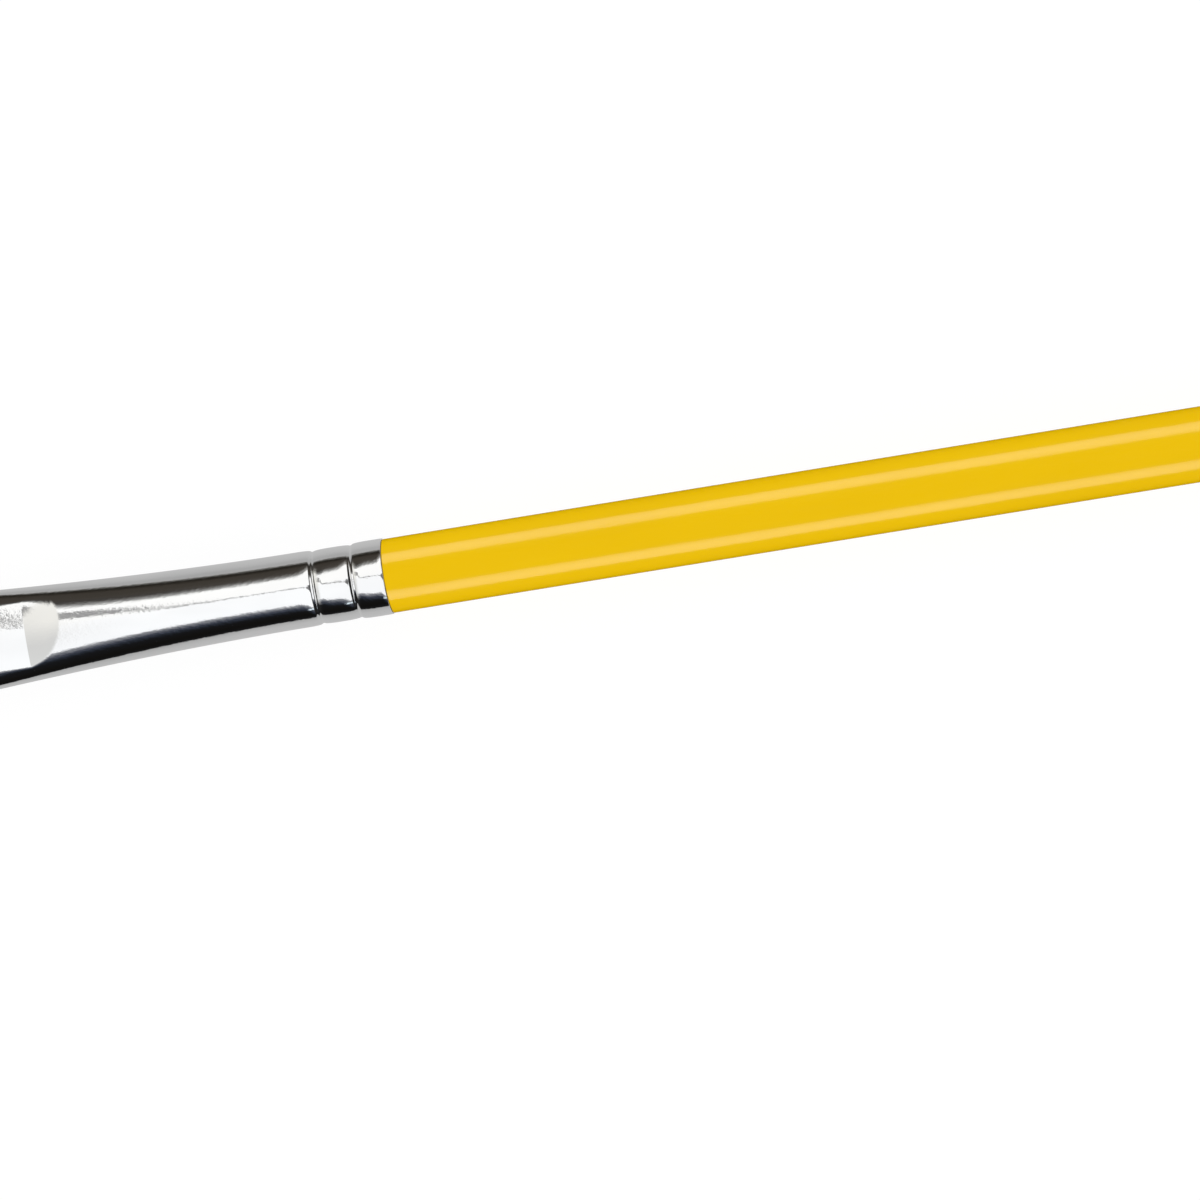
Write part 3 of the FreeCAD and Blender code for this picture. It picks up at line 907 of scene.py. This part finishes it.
@dataclass
class Handle:
    """Turned handle under a coat of lacquer, glued into the ferrule. Sizes in millimetres."""

    radius: float = 3.45
    grip_length: float = 80.0
    taper_length: float = 44.0
    tail_radius: float = 2.1
    coat: float = 0.15
    shoulder_round: float = 0.06
    rows_lip: int = 9
    rows_grip: int = 88
    rows_taper: int = 60
    rows_dome: int = 24
    columns: int = 144
    lacquer: YellowLacquer = field(default_factory=YellowLacquer)
    wood: TurnedBirch = field(default_factory=TurnedBirch)
    glue: AmberResin = field(default_factory=AmberResin)

    def side(self, inset: float) -> Array:
        """Profile from the grip's end over the taper and the domed tail to the axis, moved in by an inset.

        The taper is one arc that leaves the grip smoothly: over a length l it drops by d on a radius of
        (l^2 + d^2) / 2d. The tail is a quarter circle.

        Args:
            inset: Depth under the lacquer's surface.

        Returns:
            Rows by 2, place and radius.
        """
        radius, tail = self.radius - inset, self.tail_radius - inset
        drop = radius - tail
        sweep = (self.taper_length**2 + drop**2) / (2 * drop)
        run = np.linspace(0.0, self.taper_length, self.rows_taper)
        taper = np.stack([self.grip_length + run, radius - sweep + np.sqrt(sweep**2 - run**2)], axis=-1)
        turn = np.linspace(0.0, np.pi / 2, self.rows_dome)[1:]
        end = self.grip_length + self.taper_length
        dome = np.stack([end + tail * np.sin(turn), tail * np.cos(turn)], axis=-1)
        dome[-1, 1] = 0.0
        return np.concatenate([taper, dome])

    def profile(self) -> Array:
        """Closed profile of the coat: rounded shoulder, outside to the tail, then back along the wood.

        Returns:
            Rows by 2, place and radius.
        """
        turn = np.linspace(0.0, np.pi / 2, self.rows_lip)
        bend = self.shoulder_round
        lip = np.stack([bend * (1 - np.cos(turn)), self.radius - bend * (1 - np.sin(turn))], axis=-1)
        run = np.linspace(bend, self.grip_length, self.rows_grip + 2)[1:-1]
        grip = np.stack([run, np.full(self.rows_grip, self.radius)], axis=-1)
        inside = self.side(self.coat)[::-1]
        foot = np.array([[0.0, self.radius - self.coat]])
        return np.concatenate([foot, lip, grip, self.side(0.0), inside, foot])

    def build(self, nodes: dict[str, Object]) -> Object:
        """Makes the lacquer's piece in place of its solid, and dresses the wood and the glue.

        Args:
            nodes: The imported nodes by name.

        Returns:
            The lacquer's piece.
        """
        made = surface("handle_coat", revolved(self.profile(), self.columns))
        dress(made, self.lacquer.material())
        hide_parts("handle_lacquer")
        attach(made, Body.BRUSH.value)
        dress(nodes["handle_core"], self.wood.material())
        resin = self.glue.material()
        dress(nodes["tenon_glue"], resin)
        dress(nodes["resin_plug"], resin)
        return made


@dataclass
class Tuft:
    """Loose hair, its bound root and the thread round it. Sizes in millimetres."""

    mouth: float = -43.05
    toe_length: float = 14.5
    heel_length: float = 7.5
    belly_width: float = 10.6
    seat_half_width: float = 4.56
    seat_half_height: float = 1.16
    seat_end: float = -35.65
    thread_radius: float = 0.175
    thread_turns: int = 3
    thread_twists: int = 14
    ways: tuple[float, ...] = (0.0, 0.3, 0.6, 0.85, 1.0)
    half_widths: tuple[float, ...] = (4.5, 5.15, 5.1, 4.8, 4.2)
    half_heights: tuple[float, ...] = (1.14, 1.85, 1.5, 0.92, 0.42)
    hairs: int = 3000
    rings: int = 9
    hair_radius: float = 0.05
    hidden_share: float = 0.12
    uneven_share: float = 0.035
    rounding_share: float = 0.05
    stray: float = 0.05
    flutes: int = 60
    flute_share: float = 0.012
    rows_root: int = 90
    columns_root: int = 180
    plies: int = 3
    ply_share: float = 0.48
    rows_ply: int = 260
    columns_ply: int = 8
    seed: int = 7
    hair: BrownHair = field(default_factory=BrownHair)
    cotton: CottonThread = field(default_factory=CottonThread)

    def spread(self, way: Array, sizes: tuple[float, ...]) -> Array:
        """Half size of the tuft at shares of the way to its cut edge: the quartic through five sizes."""
        return np.polyval(np.polyfit(self.ways, sizes, len(sizes) - 1), np.clip(way, 0.0, 1.0))

    def strand_lines(self, random: np.random.Generator) -> tuple[Array, Array]:
        """Middle lines of the hairs.

        Hair k stands at the share sqrt(k / n) from the middle and k golden angles round it, and keeps that
        share of the tuft's half width and half height all the way; a slow wave and a longer or shorter tip
        set it apart from its neighbours.

        Args:
            random: Seeded source of the differences.

        Returns:
            Hairs by rings by 3 points, and each ring's share of the way to the cut edge.
        """
        number = np.arange(self.hairs)
        out = np.sqrt((number + 0.5) / self.hairs) * random.uniform(0.97, 1.0, self.hairs)
        angle = number * np.pi * (3 - np.sqrt(5)) + random.normal(0.0, 0.02, self.hairs)
        short = np.abs(random.normal(0.0, self.uneven_share, self.hairs))
        end = 1.0 - short - self.rounding_share * out**4 * np.abs(np.sin(angle))
        share = np.linspace(0.0, 1.0, self.rings)
        way = -self.hidden_share + (end[:, None] + self.hidden_share) * share
        pace = random.uniform(2.0, 6.0, (self.hairs, 1))
        start = random.uniform(0.0, 6.28, (self.hairs, 1))
        stray = self.stray * np.clip(way, 0.0, 1.0) * np.sin(share * pace + start)
        across = (out * np.cos(angle))[:, None] * self.spread(way, self.half_widths) + stray
        up = (out * np.sin(angle))[:, None] * self.spread(way, self.half_heights) + 0.6 * stray[::-1]
        lean = (self.toe_length - self.heel_length) / self.belly_width
        reach = (self.toe_length + self.heel_length) / 2 - lean * across
        return points_of(self.mouth - way * reach, across, up), way

    def build_hair(self) -> Object:
        """Makes the free hair as tapered three-sided strands from the ferrule to the tip.

        Returns:
            The piece.
        """
        random = np.random.default_rng(self.seed)
        lines, way = self.strand_lines(random)
        thick = self.hair_radius * random.uniform(0.75, 1.1, (self.hairs, 1))
        thick = thick * (1.0 - 0.85 * np.clip(way, 0.0, 1.0) ** 2.5)
        turn = random.uniform(0.0, 6.28, (self.hairs, 1, 1)) + np.arange(3) * 2 * np.pi / 3
        across = lines[..., 1, None] + thick[..., None] * np.cos(turn)
        up = lines[..., 2, None] + thick[..., None] * np.sin(turn)
        points = points_of(lines[..., :1], across, up)
        corner = np.arange(points.size // 3).reshape(self.hairs, self.rings, 3)
        ends = np.concatenate([corner[:, 0], corner[:, -1, ::-1]])
        made = shell("hair_tuft", points, [tube_walls(corner), ends], weld=0.0)
        tone = np.broadcast_to(random.uniform(0.0, 1.0, (self.hairs, 1, 1)) ** 1.5, corner.shape)
        self.write(made, "along", np.broadcast_to(np.clip(way, 0.0, 1.0)[..., None], corner.shape))
        self.write(made, "tone", tone)
        dress(made, self.hair.material("brown_hair"))
        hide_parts("tuft")
        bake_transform(made)
        return made

    def write(self, made: Object, name: str, values: Array) -> None:
        """Stores a number for each point of a mesh under a name that its material reads."""
        stored = made.data.attributes.new(name, "FLOAT", "POINT")
        stored.data.foreach_set("value", values.astype(np.float32).ravel())

    def build_root(self) -> None:
        """Makes the hair inside the ferrule: a fluted bundle, flat at the mouth and round where it is tied.

        Each row is an ellipse whose radius ripples with the hairs; rows at both ends shrink to the middle.
        """
        low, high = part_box("tuft_root")
        thread_low, thread_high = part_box("binding_thread")
        tie = thread_high.y / MM - 2 * self.thread_radius - 0.05
        places = [low.x / MM + 0.02, self.seat_end, thread_low.x / MM - 0.2, high.x / MM]
        wides = [self.seat_half_width, 0.9 * self.seat_half_width, tie, tie]
        talls = [self.seat_half_height, 1.25 * self.seat_half_height, tie, tie]
        x = np.linspace(places[0], places[-1], self.rows_root)
        wide, tall = np.interp(x, places, wides), np.interp(x, places, talls)
        angle = np.linspace(0.0, 2 * np.pi, self.columns_root, endpoint=False)
        ripple = 1.0 - self.flute_share * (1 + np.cos(self.flutes * angle + 0.3 * np.sin(x[:, None])))
        across, up = wide[:, None] * np.cos(angle) * ripple, tall[:, None] * np.sin(angle) * ripple
        grid = points_of(x[:, None], across, up)
        poles = grid[[0, -1]] * np.array([1.0, 0.0, 0.0])
        grid = np.concatenate([poles[:1], grid, poles[1:]])
        made = surface("hair_root", grid)
        self.write(made, "along", np.zeros(len(made.data.vertices)))
        self.write(made, "tone", np.full(len(made.data.vertices), 0.3))
        dress(made, self.hair.material("brown_hair_root"))
        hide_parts("tuft_root")
        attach(made, Body.BRUSH.value)

    def build_thread(self) -> None:
        """Makes the binding: three plies twisted about a helix round the tied hair.

        A ply's middle is the helix's point plus a small circle that turns with the twist; its wall is a ring
        of points about that middle.
        """
        low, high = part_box("binding_thread")
        thread, ply = self.thread_radius, self.ply_share * self.thread_radius
        step = np.linspace(0.0, 1.0, self.rows_ply)[:, None]
        phase = 2 * np.pi * (self.thread_twists * step + np.arange(self.plies)[:, None, None] / self.plies)
        side = np.linspace(0.0, 2 * np.pi, self.columns_ply, endpoint=False)
        fat = np.where((step == 0) | (step == 1), 0.0, ply)
        x = low.x / MM + thread + ((high.x - low.x) / MM - 2 * thread) * step
        x = x + (thread - ply) * np.cos(phase) + fat * np.cos(side)
        out = high.y / MM - thread + (thread - ply) * np.sin(phase) + fat * np.sin(side)
        angle = 2 * np.pi * self.thread_turns * step
        points = points_of(x, out * np.sin(angle), out * np.cos(angle))
        number = np.arange(out.size).reshape(out.shape)
        made = shell("binding_yarn", points, [tube_walls(number)])
        dress(made, self.cotton.material())
        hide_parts("binding_thread")
        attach(made, Body.BRUSH.value)

    def build(self) -> Object:
        """Makes the free hair, its root and its binding.

        Returns:
            The free hair.
        """
        self.build_root()
        self.build_thread()
        return self.build_hair()


@dataclass
class Studio:
    """White surroundings, a floor, an arch of light boxes for the plate and two strips for the lacquer.

    Sizes are in millimetres, those of the strips in metres.
    """

    floor_level: float = -8.0
    floor_half: float = 3000.0
    arch_radius: float = 2500.0
    arch_half_length: float = 6000.0
    arch_half_turn: float = 94.0
    arch_columns: int = 95
    strip_angles: tuple[float, ...] = (57.0, -63.5)
    strip_distance: float = 0.3
    strip_place: float = 0.05
    strip_length: float = 0.7
    strip_widths: tuple[float, ...] = (0.045, 0.105, 0.175)
    strip_level: float = 11.0
    dim: Colour = (0.03, 0.03, 0.03)
    daylight: float = 1.0
    tent: LightTent = field(default_factory=LightTent)
    paper: PalePaper = field(default_factory=PalePaper)

    def floor(self) -> Object:
        """Lays the floor: a level square under the brush.

        Returns:
            The floor.
        """
        side = self.floor_half * np.array([-1.0, 1.0])
        x, y = np.meshgrid(side, side, indexing="ij")
        points = points_of(x, y, self.floor_level)
        made = surface("floor", points[::-1], ring=False)
        made.data.materials.append(self.paper.material())
        return made

    def arch(self) -> Object:
        """Spans the arch: the points R sin(t), R cos(t) for turns t about the X axis, drawn out along X.

        Returns:
            The arch.
        """
        turn = np.radians(np.linspace(-self.arch_half_turn, self.arch_half_turn, self.arch_columns))
        x, turn = np.meshgrid(self.arch_half_length * np.array([-1.0, 1.0]), turn, indexing="ij")
        points = points_of(x, self.arch_radius * np.sin(turn), self.arch_radius * np.cos(turn))
        made = surface("light_tent", points, ring=False)
        made.data.materials.append(self.tent.material())
        self.reflection_only(made)
        return made

    def reflection_only(self, lamp: Object) -> None:
        """Hides a lamp or a shining surface from everything but reflections.

        Args:
            lamp: The lamp or shining surface.
        """
        lamp.visible_camera = False
        lamp.visible_diffuse = False
        lamp.visible_transmission = False
        lamp.visible_shadow = False

    def light_only(self, lamp: Object, pieces: list[Object]) -> None:
        """Lets a lamp or a shining surface light some pieces alone.

        Args:
            lamp: The lamp or shining surface.
            pieces: What it lights.
        """
        lit = bpy.data.collections.new(f"lit_by_{lamp.name}")
        for piece in pieces:
            lit.objects.link(piece)
        lamp.light_linking.receiver_collection = lit

    def strip(self, angle: float, width: float) -> Object:
        """Hangs a long lamp beside the handle; lamps of several widths in one place make a soft strip.

        Args:
            angle: Degrees from straight up, towards +Y.
            width: The lamp's width in metres.

        Returns:
            The lamp.
        """
        lamp = bpy.data.lights.new("strip", "AREA")
        lamp.shape = "RECTANGLE"
        lamp.size, lamp.size_y = self.strip_length, width
        lamp.energy = self.strip_level / len(self.strip_widths) * math.pi * lamp.size * lamp.size_y
        made = bpy.data.objects.new("strip", lamp)
        bpy.context.scene.collection.objects.link(made)
        turned = Matrix.Rotation(-math.radians(angle), 4, "X")
        made.matrix_world = turned @ Matrix.Translation((self.strip_place, 0.0, self.strip_distance))
        self.reflection_only(made)
        return made

    def surroundings(self) -> None:
        """Lights the scene evenly from all sides; reflections see dim walls instead."""
        world = bpy.data.worlds.new("studio")
        bpy.context.scene.world = world
        g = Graph(world)
        mirror = Value(g, g.node("ShaderNodeLightPath").outputs["Is Glossy Ray"])
        sockets = {"Color": g.mix(mirror, (1.0, 1.0, 1.0), self.dim), "Strength": self.daylight}
        g.finish(g.node("ShaderNodeBackground", sockets).outputs[0], "ShaderNodeOutputWorld")
        world.cycles.sampling_method = "NONE"

    def build(self, coat: Object, bright: list[Object]) -> None:
        """Sets up the surroundings, the floor, the arch and the strips.

        Args:
            coat: The lacquer, which the strips light.
            bright: The pieces that show the floor and the arch.
        """
        self.surroundings()
        self.light_only(self.floor(), bright)
        self.light_only(self.arch(), bright)
        for angle, width in product(self.strip_angles, self.strip_widths):
            self.light_only(self.strip(angle, width), [coat])


@dataclass
class Viewpoint:
    """Camera square to the brush's flat side, leaning a little towards the tail."""

    target: tuple[float, float, float] = (19.1, -5.32, 0.0)
    distance: float = 1000.0
    lean: float = 6.5
    roll: float = 9.187
    field: float = 110.8
    sensor: float = 36.0

    def build(self) -> None:
        """Makes the scene's camera: leaned about Y, rolled about its own axis and drawn back along it."""
        lens = bpy.data.cameras.new("camera")
        lens.sensor_width = self.sensor
        lens.lens = self.sensor * self.distance / self.field
        lens.clip_start, lens.clip_end = 0.01, 100.0
        made = bpy.data.objects.new("camera", lens)
        bpy.context.scene.collection.objects.link(made)
        leaned = Matrix.Rotation(math.radians(self.lean), 4, "Y")
        rolled = Matrix.Rotation(-math.radians(self.roll), 4, "Z")
        aimed = Matrix.Translation(Vector(self.target) * MM) @ leaned @ rolled
        made.matrix_world = aimed @ Matrix.Translation((0.0, 0.0, self.distance * MM))
        bpy.context.scene.camera = made


def main() -> None:
    """Builds the pieces, the studio and the camera."""
    logging.basicConfig(level=logging.INFO, format="%(name)s: %(message)s")
    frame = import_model()
    bpy.context.scene.view_settings.view_transform = "Standard"
    coat = Handle().build(frame["nodes"])
    tube = Ferrule().build()
    hair = Tuft().build()
    Studio().build(coat, [tube, hair])
    Viewpoint().build()


if __name__ == "__main__":
    main()
